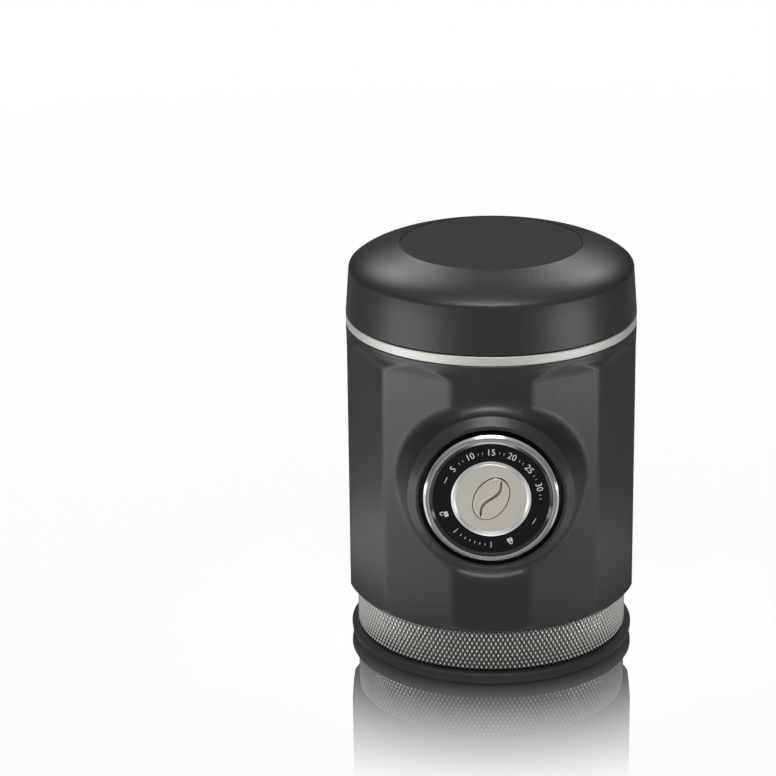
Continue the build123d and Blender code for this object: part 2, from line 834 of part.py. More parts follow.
with BuildPart() as badge_disc:
    with BuildSketch(pump_front.offset(plate_front)):
        Circle(badge_radius)
    extrude(amount=button_inlay_depth - chamfer_size)
pieces["badge_disc"] = badge_disc

# ---------------------------------------------------------------- housing shell
facet_corner = facet_apothem / cos(radians(180 / facet_count))
corner_loss = facet_rounding * (1 / cos(radians(180 / facet_count)) - 1)
envelope_radius = facet_corner - corner_loss + guide_gap
foot_of_shell = facet_apothem - bottom_inset
boss_shoulder = groove_radius + boss_rim_width + boss_chamfer
boss_wall = (boss_rise - boss_chamfer) / cos(atan(boss_draft))
blend_radius = min(boss_blend, boss_blend_share * boss_wall / tan(pi / 4 - atan(boss_draft) / 2))

with BuildPart() as housing_shell:
    # Faceted body with rounded edges
    with BuildSketch(Plane.XY.offset(body_bottom)):
        add(facet_outline(facet_apothem, facet_rounding))
    extrude(amount=facet_top - body_bottom)
    # Boss round the button, blended into the facets
    with BuildSketch(pump_section):
        Polygon(
            (boss_root, 0),
            (boss_root, boss_shoulder + boss_draft * (boss_front - boss_chamfer - boss_root)),
            (boss_front - boss_chamfer, boss_shoulder),
            (boss_front, boss_shoulder - boss_chamfer),
            (boss_front, 0),
            align=None,
        )
    revolve(axis=pump_axis)
    fillet(housing_shell.edges(Select.NEW), blend_radius)
    # Round rim that trims the facets at the bottom
    with BuildSketch(Plane.XZ):
        with BuildLine():
            bottom_curve = Spline(
                (foot_of_shell, body_bottom),
                (envelope_radius, body_bottom + bottom_rounding),
                tangents=((1, bottom_flare), (0, 1)),
            )
            Polyline(
                bottom_curve @ 1,
                (facet_corner + shell_wall, body_bottom + bottom_rounding),
                (facet_corner + shell_wall, body_bottom),
                bottom_curve @ 0,
            )
        make_face()
    revolve(axis=Axis.Z, mode=Mode.SUBTRACT)
    # Run-out of the facets into the round collar, as a loft that starts and ends upright
    for step in range(runout_steps + 1):
        share = step / runout_steps
        eased = (1 - cos(pi * share)) / 2
        rounding = facet_rounding + eased * (collar_radius - collar_flat - facet_rounding)
        with BuildSketch(Plane.XY.offset(facet_top + share * facet_runout)):
            add(facet_outline(facet_apothem + eased * collar_step, rounding))
    loft()
    with BuildSketch(Plane.XZ):
        Polygon(
            (0, collar_bottom),
            (collar_radius, collar_bottom),
            (collar_radius, collar_top - ring_chamfer),
            (collar_radius - ring_chamfer, collar_top),
            (0, collar_top),
            align=None,
        )
    revolve(axis=Axis.Z)
    # Bore for the pump works, a narrower lip below the bayonet ring, and the spigot for the trim ring
    with BuildSketch(Plane.XY.offset(collar_top)):
        Circle(spigot_radius)
    extrude(amount=spigot_height)
    with BuildSketch(Plane.XY.offset(ledge_bottom)):
        Circle(shell_bore)
    extrude(amount=spigot_top - ledge_bottom, mode=Mode.SUBTRACT)
    with BuildSketch(Plane.XY.offset(body_bottom)):
        Circle(lip_bore)
    extrude(amount=lip_height, mode=Mode.SUBTRACT)
    # Bore for the guide bush, opened out in front as the dark groove round the button
    with BuildSketch(pump_front.offset(boss_root)):
        Circle(bush_radius + fit_gap)
    extrude(amount=bush_front - boss_root, mode=Mode.SUBTRACT)
    with BuildSketch(pump_front.offset(bush_front)):
        Circle(groove_radius)
    extrude(amount=boss_front - bush_front, mode=Mode.SUBTRACT)
    boss_rings = housing_shell.edges().filter_by(GeomType.CIRCLE).sort_by(Axis.Y)
    outer_rings = boss_rings.filter_by(lambda ring: ring.radius > groove_radius + fit_gap)
    fillet(outer_rings[:2], boss_chamfer / 5)
pieces["housing_shell"] = housing_shell

# ---------------------------------------------------------------- trim ring
with BuildPart() as trim_ring:
    with BuildSketch(Plane.XZ):
        Polygon(
            (ring_bore, collar_top),
            (collar_radius - ring_chamfer, collar_top),
            (collar_radius, collar_top + ring_chamfer),
            (collar_radius, ring_top - ring_chamfer),
            (collar_radius - ring_chamfer, ring_top),
            (ring_bore, ring_top),
            align=None,
        )
    revolve(axis=Axis.Z)
pieces["trim_ring"] = trim_ring

# ---------------------------------------------------------------- water tank
lid_bore = collar_radius - lid_wall
tank_lug_radius = lid_bore - lid_lug_gap
tank_neck = tank_lug_radius - lid_lug_depth
tank_neck_bore = tank_neck - tank_wall
tank_bore = fixed_radius - tank_wall
lid_lug_bore = tank_neck + lid_lug_gap
lid_lug_bottom = lid_bottom + lid_lug_rise
tank_lug_bottom = lid_lug_bottom + lid_lug_height + part_gap

with BuildPart() as tank_cup:
    with BuildSketch(Plane.XZ):
        Polygon(
            (0, tank_bottom),
            (fixed_radius - chamfer_size, tank_bottom),
            (fixed_radius, tank_bottom + chamfer_size),
            (fixed_radius, spigot_top),
            (spigot_radius, spigot_top),
            (spigot_radius, ring_top),
            (tank_neck, ring_top),
            (tank_neck, tank_rim - chamfer_size),
            (tank_neck - chamfer_size, tank_rim),
            (tank_neck_bore, tank_rim),
            (tank_neck_bore, ring_top),
            (tank_bore, spigot_top - tank_wall),
            (tank_bore, tank_inside + tank_wall),
            (tank_bore - tank_wall, tank_inside),
            (0, tank_inside),
            align=None,
        )
    revolve(axis=Axis.Z)
    with BuildSketch(Plane.XY.offset(tank_lug_bottom)):
        with PolarLocations(0, lug_count, start_angle=-90):
            add(sector(tank_neck - tank_wall / 2, tank_lug_radius, tank_lug_angle))
    extrude(amount=lid_lug_height)
    with BuildSketch(Plane.XY.offset(tank_bottom)):
        with Locations((0, port_y)):
            Circle(port_radius)
    extrude(amount=tank_floor, mode=Mode.SUBTRACT)
pieces["tank_cup"] = tank_cup

# ---------------------------------------------------------------- lid, gasket and inlay
lid_top_radius = collar_radius - lid_draft
roof_inside = total_height - lid_roof
pad_seat = total_height - lid_pad_thickness
pad_opening = lid_pad_radius + lid_pad_gap
gasket_outer = tank_neck + lid_lug_gap
gasket_inner = gasket_outer - lid_gasket_width
rib_outer = gasket_inner - part_gap
rib_inner = rib_outer - gasket_rib_width

with BuildPart() as lid_shell:
    with BuildSketch(Plane.XZ):
        with BuildLine():
            top = Line((0, total_height), (pad_opening, total_height))
            crown = Spline(
                top @ 1,
                (lid_top_radius, lid_corner_z),
                tangents=((1, -lid_crown_slope), (1, -lid_edge_slope)),
            )
            Polyline(
                crown @ 1,
                (collar_radius, lid_bottom + ring_chamfer),
                (collar_radius - ring_chamfer, lid_bottom),
                (lid_bore, lid_bottom),
                (lid_bore, lid_land),
                (rib_outer, lid_land),
                (rib_outer, lid_land - gasket_rib_height),
                (rib_inner, lid_land - gasket_rib_height),
                (rib_inner, lid_land),
                (rib_inner - lid_roof, roof_inside),
                (0, roof_inside),
                top @ 0,
            )
        make_face()
    revolve(axis=Axis.Z)
    lid_rings = lid_shell.edges().filter_by(GeomType.CIRCLE)
    fillet(lid_rings.sort_by(lambda ring: abs(ring.center().Z - lid_corner_z))[0], lid_corner)
    with BuildSketch(Plane.XY.offset(pad_seat)):
        Circle(pad_opening)
    extrude(amount=lid_pad_thickness, mode=Mode.SUBTRACT)
    with BuildSketch(Plane.XY.offset(pad_seat - vent_radius)):
        with Locations((pad_opening / 2, 0)):
            Rectangle(pad_opening, vent_groove_width)
    extrude(amount=vent_radius, mode=Mode.SUBTRACT)
    with BuildSketch(Plane.XY.offset(roof_inside)):
        Circle(vent_radius)
    extrude(amount=lid_roof, mode=Mode.SUBTRACT)
    with BuildSketch(Plane.XY.offset(lid_lug_bottom)):
        with PolarLocations(0, lug_count, start_angle=-90 + lug_spacing / 2):
            add(sector(lid_lug_bore, lid_bore + lid_wall / 2, lid_lug_angle))
    extrude(amount=lid_lug_height)
pieces["lid_shell"] = lid_shell

with BuildPart() as lid_pad:
    with BuildSketch(Plane.XY.offset(pad_seat)):
        Circle(lid_pad_radius)
    extrude(amount=lid_pad_thickness - lid_pad_gap)
pieces["lid_pad"] = lid_pad

with BuildPart() as lid_gasket:
    with BuildSketch(Plane.XZ):
        Polygon(
            (gasket_inner, lid_gasket_bottom + chamfer_size),
            (gasket_inner + chamfer_size, lid_gasket_bottom),
            (gasket_outer - chamfer_size, lid_gasket_bottom),
            (gasket_outer, lid_gasket_bottom + chamfer_size),
            (gasket_outer, lid_gasket_bottom + lid_gasket_height),
            (gasket_inner, lid_gasket_bottom + lid_gasket_height),
            align=None,
        )
    revolve(axis=Axis.Z)
pieces["lid_gasket"] = lid_gasket

os.makedirs("parts", exist_ok=True)
for label, piece in pieces.items():
    piece.part.label = label
    export_step(piece.part, f"parts/{label}.step")
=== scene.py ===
"""Looks of a handheld manual espresso maker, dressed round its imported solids.

Everything is in metres, +Z up, and the pump button looks along -Y.  Lengths are written in
millimetres times MM.  Angles on the button's face run clockwise from its top.
"""
import json
from math import cos, hypot, pi, radians, sin

import bmesh
import bpy
from mathutils import Matrix, Vector


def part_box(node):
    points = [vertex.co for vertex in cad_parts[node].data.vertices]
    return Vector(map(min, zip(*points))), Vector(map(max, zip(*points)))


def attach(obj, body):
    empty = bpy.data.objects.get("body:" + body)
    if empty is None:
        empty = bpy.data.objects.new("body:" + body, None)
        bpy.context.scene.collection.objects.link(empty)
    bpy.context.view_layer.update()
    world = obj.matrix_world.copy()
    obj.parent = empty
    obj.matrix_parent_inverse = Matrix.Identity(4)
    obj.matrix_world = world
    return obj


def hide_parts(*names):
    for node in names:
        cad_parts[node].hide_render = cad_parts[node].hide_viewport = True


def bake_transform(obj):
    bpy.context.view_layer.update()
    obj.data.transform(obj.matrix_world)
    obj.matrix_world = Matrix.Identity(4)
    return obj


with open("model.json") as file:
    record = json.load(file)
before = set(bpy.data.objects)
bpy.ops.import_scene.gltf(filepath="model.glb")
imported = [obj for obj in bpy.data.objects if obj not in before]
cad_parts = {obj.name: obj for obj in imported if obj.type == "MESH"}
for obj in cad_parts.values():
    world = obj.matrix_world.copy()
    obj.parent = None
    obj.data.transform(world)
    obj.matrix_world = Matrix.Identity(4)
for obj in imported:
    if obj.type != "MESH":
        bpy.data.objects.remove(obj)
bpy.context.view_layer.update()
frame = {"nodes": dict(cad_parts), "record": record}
MM = 0.001


# ---------------------------------------------------------------- sizes read from the frame
def low(node):
    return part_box(node)[0].z


def high(node):
    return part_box(node)[1].z


def reach(node):
    """Outer radius of a piece that is round about the vertical axis, or about the pump's axis."""
    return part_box(node)[1].x


def face(node):
    """How far forward of the vertical axis a piece reaches."""
    return -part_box(node)[0].y


def back(node):
    return -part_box(node)[1].y


button_z = (high("badge_disc") + low("badge_disc")) / 2

# Knurl of the grip: pyramids in rows that are half a pitch apart, cut by V grooves.
grip_low, grip_high, grip_crest = 3.8 * MM, 14.0 * MM, 34.5 * MM
knurl_around, knurl_rows, knurl_cut, knurl_blunt = 180, 9.5, 0.64 * MM, 0.86
knurl_groove = grip_crest - knurl_cut * knurl_blunt

# Face of the button: the dial's cone and the flat badge inside it.
dial_inside, dial_outside = reach("badge_ring"), reach("dial_ring")
bezel_inside, bezel_outside = 15.05 * MM, reach("button_bezel")
dial_drop = 0.2 * MM
dial_crest, dial_rim = face("dial_ring"), face("dial_ring") - dial_drop
badge_face = face("badge_disc")

# Points closer than this are merged: the weld gap in curves and text, the sliver gap in the rest.
weld_gap, sliver_gap = 0.0001 * MM, 0.001 * MM

# The table's mirror: the distance that its fade is given in shares of, and the light it returns.
fade_distance, mirror_tint = 0.12, 0.30


# ---------------------------------------------------------------- node trees
class Wire:
    """A socket of a node tree.  Sums on it add Math nodes to the tree."""

    def __init__(self, graph, socket):
        self.graph, self.socket = graph, socket

    def out(self, name):
        return Wire(self.graph, self.socket.node.outputs[name])

    def math(self, operation, *others):
        return self.graph.node("ShaderNodeMath", [self, *others], operation=operation)

    def __add__(self, other):
        return self.math("ADD", other)

    def __sub__(self, other):
        return self.math("SUBTRACT", other)

    def __mul__(self, other):
        return self.math("MULTIPLY", other)

    def __truediv__(self, other):
        return self.math("DIVIDE", other)

    def __pow__(self, other):
        return self.math("POWER", other)

    def __mod__(self, other):
        return self.math("FLOORED_MODULO", other)

    def __lt__(self, other):
        return self.math("LESS_THAN", other)

    def __gt__(self, other):
        return self.math("GREATER_THAN", other)

    def __abs__(self):
        return self.math("ABSOLUTE")

    def __rsub__(self, other):
        return self.graph.node("ShaderNodeMath", [other, self], operation="SUBTRACT")

    __radd__ = __add__
    __rmul__ = __mul__


class Graph:
    """A node tree that is filled by calls."""

    def __init__(self, tree):
        self.tree = tree

    def node(self, kind, values=(), output=0, stops=(), **settings):
        """Adds a node: its settings and ramp stops first, then its sockets by place or by name."""
        made = self.tree.nodes.new(kind)
        for name, setting in settings.items():
            setattr(made, name, setting)
        for index, (place, level) in enumerate(stops):
            elements = made.color_ramp.elements
            stop = elements[index] if index < len(elements) else elements.new(place)
            stop.position, stop.color = place, (level, level, level, 1)
        pairs = values.items() if isinstance(values, dict) else enumerate(values)
        for key, value in pairs:
            self.feed(made.inputs[key], value)
        return Wire(self, made.outputs[output]) if len(made.outputs) else None

    def feed(self, socket, value):
        if isinstance(value, Wire):
            self.tree.links.new(value.socket, socket)
        else:
            socket.default_value = value

    def ramp(self, factor, *stops):
        """Grey level along a ramp with stops of (place, level)."""
        return self.node("ShaderNodeValToRGB", [factor], stops=stops)

    def mix(self, factor, first, second):
        """Colour between two others, each of them three numbers or a socket."""
        first, second = [shade if isinstance(shade, Wire) else (*shade, 1) for shade in (first, second)]
        return self.node("ShaderNodeMix", {0: factor, 6: first, 7: second}, output=2, data_type="RGBA")


class Finish(Graph):
    """A material with one Principled shader."""

    def __init__(self, name, base, roughness, metallic=0.0):
        self.material = bpy.data.materials.new(name)
        self.material.use_nodes = True
        super().__init__(self.material.node_tree)
        self.tree.nodes.clear()
        shader = self.node("ShaderNodeBsdfPrincipled")
        self.sockets = shader.socket.node.inputs
        self.node("ShaderNodeOutputMaterial", {"Surface": shader})
        self.base = base
        self.set("Base Color", (*base, 1))
        self.set("Roughness", roughness)
        self.set("Metallic", metallic)

    def set(self, socket, value):
        self.feed(self.sockets[socket], value)
        return self

    def place(self, scale=None):
        """Object coordinates, in metres, or stretched by a factor along each axis."""
        place = self.node("ShaderNodeTexCoord", output="Object")
        return place if scale is None else self.node("ShaderNodeMapping", {"Vector": place, "Scale": scale})

    def noise(self, size, detail=3.0, scale=None):
        """Noise from 0 to 1 with grains of about that size, stretched if a scale is given."""
        return self.node(
            "ShaderNodeTexNoise",
            {"Vector": self.place(scale), "Scale": 1 / size, "Detail": detail},
        )

    def shades(self, factor, spread):
        """Base colour that wanders by that share either way."""
        darker, lighter = ([c * (1 + way * spread) for c in self.base] for way in (-1, 1))
        return self.set("Base Color", self.mix(factor, darker, lighter))

    def radius(self, pump=False):
        """Distance from the vertical axis, or from the pump's axis."""
        parts = self.node("ShaderNodeSeparateXYZ", [self.place()])
        across = parts.out("Z") - button_z if pump else parts.out("Y")
        return (parts.out("X") * parts.out("X") + across * across) ** 0.5

    def relief(self, height, depth, edge=0.0):
        """Bumps of that depth, and edges that look rounded by the radius edge."""
        values = {"Height": height, "Distance": depth}
        if edge:
            values["Normal"] = self.node("ShaderNodeBevel", {"Radius": edge}, samples=4)
        return self.set("Normal", self.node("ShaderNodeBump", values))


# ---------------------------------------------------------------- finishes
def moulded_plastic(name, base, roughness, grain, depth, edge=0.15 * MM):
    """Plastic from a spark-eroded mould: a fine even grain, and faint wide differences in shine."""
    finish = Finish(name, base, roughness).set("Specular IOR Level", 0.35)
    fine, broad = finish.noise(grain, 2.0), finish.noise(9 * MM, 2.0)
    finish.shades(fine * 0.6 + broad * 0.4, 0.22)
    finish.set("Roughness", roughness + (broad - 0.5) * 0.10 + (fine - 0.5) * 0.12)
    return finish.relief(fine, depth, edge)


def gloss_plastic(name, base, roughness, skin=0.6):
    """Polished plastic with a clear skin and the faintest waviness."""
    finish = Finish(name, base, roughness).set("Specular IOR Level", skin / 2)
    wave, smear = finish.noise(3 * MM, 1.0), finish.noise(6 * MM, 4.0)
    finish.shades(smear, 0.25).set("Coat Weight", skin)
    finish.set("Roughness", roughness + smear * 0.06)
    return finish.relief(wave, 0.01 * MM, 0.1 * MM)


def turned_metal(name, base, roughness, pump=False, line=0.06 * MM, edge=0.1 * MM):
    """Metal turned on a lathe: fine lines that run round the axis, and soft wear between them."""
    finish = Finish(name, base, roughness, 1.0)
    parts = finish.node("ShaderNodeSeparateXYZ", [finish.place()])
    along = parts.out("Y") if pump else parts.out("Z")
    across = finish.node("ShaderNodeCombineXYZ", [finish.radius(pump), along, 0.0])
    lines = finish.node("ShaderNodeTexNoise", {"Vector": across, "Scale": 1 / line, "Detail": 2.0})
    wear = finish.noise(5 * MM, 3.0)
    finish.shades(lines * 0.5 + wear * 0.5, 0.10)
    finish.set("Roughness", roughness + (lines - 0.5) * 0.16 + (wear - 0.5) * 0.10)
    return finish.relief(lines, 0.003 * MM, edge)


def polished_metal(name, base, roughness, edge=0.1 * MM):
    """Plated or polished metal with small differences in shine."""
    finish = Finish(name, base, roughness, 1.0)
    haze, hairlines = finish.noise(4 * MM, 4.0), finish.noise(0.2 * MM, 1.0, (1, 1, 12))
    finish.shades(haze, 0.05)
    finish.set("Roughness", roughness + haze * 0.07 + hairlines * 0.04)
    return finish.relief(haze, 0.002 * MM, edge)


def knurled_steel():
    """Stainless steel whose colour carries painted light: painted shade, nearly black, deep in the knurl's
    grooves, and a painted highlight on its crests, a little lighter than the plain steel.
    """
    finish = turned_metal("knurled_steel", (0.60, 0.585, 0.55), 0.36)
    shade = finish.ramp((finish.radius() - knurl_groove) * (1 / knurl_cut), (0.0, 0.0), (0.7, 1.0))
    # Painted shade in the grooves, and a painted highlight on the crests.
    painted_groove_shade, painted_crest_highlight = (0.045, 0.0435, 0.041), (0.68, 0.66, 0.62)
    return finish.set("Base Color", finish.mix(shade, painted_groove_shade, painted_crest_highlight))


def bezel_metal():
    """Chrome with painted reflections: lighter along both edges of the ring as a painted highlight, darker
    in a painted band across the middle, and with its inner slope as black as the dial.
    """
    finish = polished_metal("bezel_chrome", (0.60, 0.60, 0.605), 0.16, 0.12 * MM)
    radius = finish.radius(pump=True)
    black = radius < bezel_inside
    middle = 1 - abs((radius - bezel_inside) * (2 / (bezel_outside - bezel_inside)) - 1)
    # Painted highlight along each edge of the ring, and painted darker reflection between them.
    painted_edge_highlight, painted_dark_middle, black_base = (0.62, 0.62, 0.625), (0.26, 0.26, 0.265), (0.004, 0.004, 0.0045)
    metal = finish.mix(middle ** 0.5, painted_edge_highlight, painted_dark_middle)
    finish.set("Base Color", finish.mix(black, metal, black_base))
    return finish.set("Metallic", 1 - black).set("Roughness", 0.18 - black * 0.06)


def silicone(name, base):
    """Soft rubber with a bloom of dust."""
    finish = Finish(name, base, 0.62)
    fine, bloom = finish.noise(0.25 * MM, 3.0), finish.noise(4 * MM, 4.0)
    finish.shades(bloom, 0.3).set("Roughness", 0.55 + bloom * 0.2)
    return finish.relief(fine, 0.012 * MM, 0.1 * MM)


def printed_white():
    """Silvery paint, a little uneven."""
    finish = Finish("printed_marks", (0.62, 0.62, 0.60), 0.4)
    uneven = finish.noise(0.3 * MM, 2.0)
    return finish.shades(uneven, 0.15).set("Roughness", 0.35 + uneven * 0.2)


# ---------------------------------------------------------------- meshes
def placed(name, data):
    """New object in the scene that holds that data."""
    holder = bpy.data.objects.new(name, data)
    bpy.context.scene.collection.objects.link(holder)
    return holder


def evaluated(holder):
    """Plain mesh of an object, as its curve, text or modifier makes it."""
    bpy.context.view_layer.update()
    return bpy.data.meshes.new_from_object(holder.evaluated_get(bpy.context.evaluated_depsgraph_get()))


def as_piece(name, mesh, finish, body, nodes=(), sharp=30):
    """Makes a mesh a piece of the object, which rides on a body and may stand for CAD nodes."""
    piece = placed(name, mesh)
    mesh.materials.clear()
    mesh.materials.append(finish.material)
    if sharp is not None:
        mesh.shade_smooth()
        mesh.set_sharp_from_angle(angle=radians(sharp))
    if nodes:
        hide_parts(*nodes)
    if body:
        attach(piece, body)
    return piece


def flat_mesh(name, outlines, thickness, rounding=0.0, grown_by=0.0):
    """Plate with those outlines in its own plane, the inner ones as holes."""
    curve = bpy.data.curves.new(name, "CURVE")
    curve.dimensions, curve.fill_mode, curve.extrude = "2D", "BOTH", thickness / 2
    curve.bevel_depth, curve.offset, curve.bevel_resolution = rounding, grown_by - rounding, 3
    for outline in outlines:
        spline = curve.splines.new("POLY")
        spline.points.add(len(outline) - 1)
        for point, (u, v) in zip(spline.points, outline):
            point.co = (u, v, 0, 1)
        spline.use_cyclic_u = True
    return plain_mesh(curve)


def plain_mesh(data):
    """Mesh of a curve or text, closed."""
    holder = placed(data.name, data)
    mesh = evaluated(holder)
    bpy.data.objects.remove(holder)
    shape = bmesh.new()
    shape.from_mesh(mesh)
    bmesh.ops.remove_doubles(shape, verts=shape.verts, dist=weld_gap)
    shape.to_mesh(mesh)
    shape.free()
    return mesh


def joined(name, meshes):
    """One mesh of several."""
    mesh, shape = bpy.data.meshes.new(name), bmesh.new()
    for part in meshes:
        shape.from_mesh(part)
    shape.to_mesh(mesh)
    shape.free()
    return mesh


def grown(name, sizes, build):
    """Runs a Geometry Nodes tree with those named sizes and returns the plain mesh that it makes."""
    tree = bpy.data.node_groups.new(name, "GeometryNodeTree")
    for label, value in sizes.items():
        kind = "NodeSocketInt" if isinstance(value, int) else "NodeSocketFloat"
        tree.interface.new_socket(label, in_out="INPUT", socket_type=kind)
    tree.interface.new_socket("Geometry", in_out="OUTPUT", socket_type="NodeSocketGeometry")
    graph = Graph(tree)
    given = graph.node("NodeGroupInput")
    shape = build(graph, {label: given.out(label) for label in sizes})
    shape = graph.node("GeometryNodeRealizeInstances", [shape])
    shape = graph.node("GeometryNodeSetMaterial", {"Geometry": shape})
    graph.node("NodeGroupOutput", [shape])
    host = placed(name, bpy.data.meshes.new(name))
    modifier = host.modifiers.new(name, "NODES")
    modifier.node_group = tree
    for socket in tree.interface.items_tree:
        if socket.in_out == "INPUT":
            modifier[socket.identifier] = sizes[socket.name]
    mesh = evaluated(host)
    host.modifiers.clear()
    bpy.data.objects.remove(host)
    return mesh


# ---------------------------------------------------------------- finishes of the CAD pieces
body_plastic = moulded_plastic("body_plastic", (0.0165, 0.0165, 0.0175), 0.34, 0.34 * MM, 0.040 * MM)
inlay_plastic = moulded_plastic("inlay_plastic", (0.007, 0.007, 0.008), 0.46, 0.25 * MM, 0.010 * MM)
inner_plastic = moulded_plastic("inner_plastic", (0.050, 0.050, 0.054), 0.50, 0.40 * MM, 0.015 * MM)
foot_plastic = moulded_plastic("foot_plastic", (0.024, 0.024, 0.026), 0.58, 0.30 * MM, 0.015 * MM)
tool_plastic = moulded_plastic("tool_plastic", (0.028, 0.028, 0.030), 0.42, 0.35 * MM, 0.010 * MM)
tank_plastic = gloss_plastic("tank_plastic", (0.075, 0.075, 0.080), 0.16)
dial_black = gloss_plastic("dial_black", (0.004, 0.004, 0.0045), 0.12, 0.15)
tube_plastic = gloss_plastic("tube_plastic", (0.62, 0.62, 0.60), 0.25)
satin_steel = turned_metal("satin_steel", (0.50, 0.487, 0.46), 0.62)
basket_steel = turned_metal("basket_steel", (0.62, 0.61, 0.59), 0.20)
badge_nickel = turned_metal("badge_nickel", (0.63, 0.603, 0.548), 0.38, pump=True, line=0.05 * MM)
pump_metal = turned_metal("pump_metal", (0.55, 0.55, 0.55), 0.25, pump=True)
spring_steel = polished_metal("spring_steel", (0.50, 0.50, 0.51), 0.22)
chrome = polished_metal("chrome", (0.58, 0.58, 0.585), 0.18, 0.15 * MM)
bezel_chrome = bezel_metal()
ring_chrome = polished_metal("ring_chrome", (0.50, 0.50, 0.50), 0.30, 0.15 * MM)
bean_shadow = turned_metal("bean_shadow", (0.10, 0.095, 0.085), 0.45, pump=True)
steel_knurl = knurled_steel()
grey_silicone = silicone("silicone", (0.10, 0.10, 0.105))
marking = printed_white()

finishes = {
    "body_plastic": body_plastic,
    "inlay_plastic": inlay_plastic,
    "satin_steel": satin_steel,
    "knurled_steel": steel_knurl,
    "basket_steel": basket_steel,
    "chrome": chrome,
    "dial_black": dial_black,
    "badge_nickel": badge_nickel,
    "inner_plastic": inner_plastic,
    "tool_plastic": tool_plastic,
    "tank_plastic": tank_plastic,
    "pump_metal": pump_metal,
    "silicone": grey_silicone,
    "spring_steel": spring_steel,
    "tube_plastic": tube_plastic,
}
for subpart in frame["record"]["subparts"]:
    node = frame["nodes"][subpart["node"]]
    for slot in node.material_slots:
        slot.material = finishes[subpart["material_slot"]].material

# These three differ a little from the other pieces in their slots.
own_finishes = {"dosing_funnel": foot_plastic, "button_bezel": bezel_chrome, "badge_ring": ring_chrome}
for node, finish in own_finishes.items():
    frame["nodes"][node].material_slots[0].material = finish.material


# ---------------------------------------------------------------- grip of the portafilter
def knurl(graph, size):
    """Ring of pyramids on a lattice with four columns to a pitch and two steps to a row."""
    steps, columns = size["Rows"] * 2, size["Pitches"] * 4
    sheet = graph.node(
        "GeometryNodeMeshGrid",
        {"Size X": columns, "Size Y": steps + 4, "Vertices X": columns + 1, "Vertices Y": steps + 5},
    )
    place = graph.node("ShaderNodeSeparateXYZ", [graph.node("GeometryNodeInputPosition")])
    across = place.out("X") + columns * 0.5
    along = place.out("Y") + steps * 0.5
    half_across, half_along = across * 0.5, (along - 1) * 0.5

    odd = (half_across.math("FLOOR") + half_along.math("FLOOR")) % 2
    for crease, chosen in (("FIXED", odd), ("FIXED_ALTERNATE", 1 - odd)):
        sheet = graph.node("GeometryNodeTriangulate", [sheet, chosen > 0.5], quad_method=crease)

    from_crest = half_across.math("PINGPONG", 1.0) + half_along.math("PINGPONG", 1.0)
    rise = abs(1 - from_crest).math("MINIMUM", size["Blunt"])
    inside = (along > -0.5) * (along < steps + 0.5)
    lining = (along < -1.5) + (along > steps + 1.5)
    radius = inside * (size["Groove"] + size["Cut"] * rise) + (1 - inside) * size["Core"]
    radius = radius - lining * size["Lining"]
    share = (along / steps).math("MAXIMUM", 0.0).math("MINIMUM", 1.0)
    height = size["Bottom"] + (size["Top"] - size["Bottom"]) * (share * (1 - lining) + lining * 0.5)
    angle = across * (2 * pi) / columns
    spot = [radius * angle.math("COSINE"), radius * angle.math("SINE"), height]
    sheet = graph.node(
        "GeometryNodeSetPosition",
        {"Geometry": sheet, "Position": graph.node("ShaderNodeCombineXYZ", spot)},
    )
    return graph.node("GeometryNodeMergeByDistance", {"Geometry": sheet, "Distance": sliver_gap})


# The knurl covers a core, into which its two ends sink, and a lining closes it inside.
core_gap, end_sink, lining_depth, height_slack = 0.05 * MM, 0.1 * MM, 0.5 * MM, 0.01 * MM
core_radius = knurl_groove - core_gap
grip_sizes = {
    "Pitches": knurl_around,
    "Rows": knurl_rows,
    "Cut": knurl_cut,
    "Blunt": knurl_blunt,
    "Groove": knurl_groove,
    "Core": core_radius - end_sink,
    "Lining": lining_depth,
    "Bottom": grip_low,
    "Top": grip_high,
}
grip_mesh = grown("grip_knurl", grip_sizes, knurl)
as_piece("grip_knurl", grip_mesh, steel_knurl, "portafilter", sharp=None)


def merged(name, node, reshape=None):
    """Copy of a CAD node's mesh with its doubles and slivers merged, and reshaped if asked."""
    shape, mesh = bmesh.new(), bpy.data.meshes.new(name)
    shape.from_mesh(frame["nodes"][node].data)
    bmesh.ops.remove_doubles(shape, verts=shape.verts, dist=sliver_gap)
    for vert in shape.verts if reshape else ():
        reshape(vert.co)
    bmesh.ops.dissolve_degenerate(shape, edges=shape.edges, dist=sliver_gap)
    shape.to_mesh(mesh)
    shape.free()
    mesh.attributes.remove(mesh.attributes["custom_normal"])
    return mesh


def shrink_to_core(spot):
    """Takes the grip's surface back to a core that the knurl covers."""
    radius = hypot(spot.x, spot.y)
    if radius > core_radius and spot.z < grip_high + height_slack:
        spot.xy *= core_radius / radius


core_mesh = merged("portafilter_core", "portafilter_ring", shrink_to_core)
turned_steel = turned_metal("turned_steel", (0.60, 0.59, 0.565), 0.28)
as_piece("portafilter_core", core_mesh, turned_steel, "portafilter", ["portafilter_ring"])

# The lid's crown meets its wall in slivers, so a merged copy stands for it.
as_piece("lid_cover", merged("lid_cover", "lid_shell"), body_plastic, "lid", ["lid_shell"])


# ---------------------------------------------------------------- markings and emblem
print_thickness = 0.05 * MM
mark_radius = (dial_inside + dial_outside) / 2


def on_dial(mesh, angle):
    """Lays a flat mesh on the middle of the dial's cone at an angle, with its own top outwards."""
    turn = Matrix.Rotation(-radians(angle), 2)
    slope = (dial_crest - dial_rim) / (dial_outside - dial_inside)
    for vert in mesh.vertices:
        u, v = turn @ Vector((vert.co.x, vert.co.y + mark_radius))
        out = dial_crest - slope * (hypot(u, v) - dial_inside)
        vert.co = (u, -(out + vert.co.z), button_z + v)
    return mesh


def bar(width, height):
    """Corners of a bar about its middle."""
    u, v = width / 2, height / 2
    return [(-u, -v), (u, -v), (u, v), (-u, v)]


def arc(radius, first, last, steps, middle):
    """Points of an arc from one angle to another, in degrees."""
    turns = [radians(first + (last - first) * step / steps) for step in range(steps + 1)]
    return [(middle[0] + radius * cos(turn), middle[1] + radius * sin(turn)) for turn in turns]


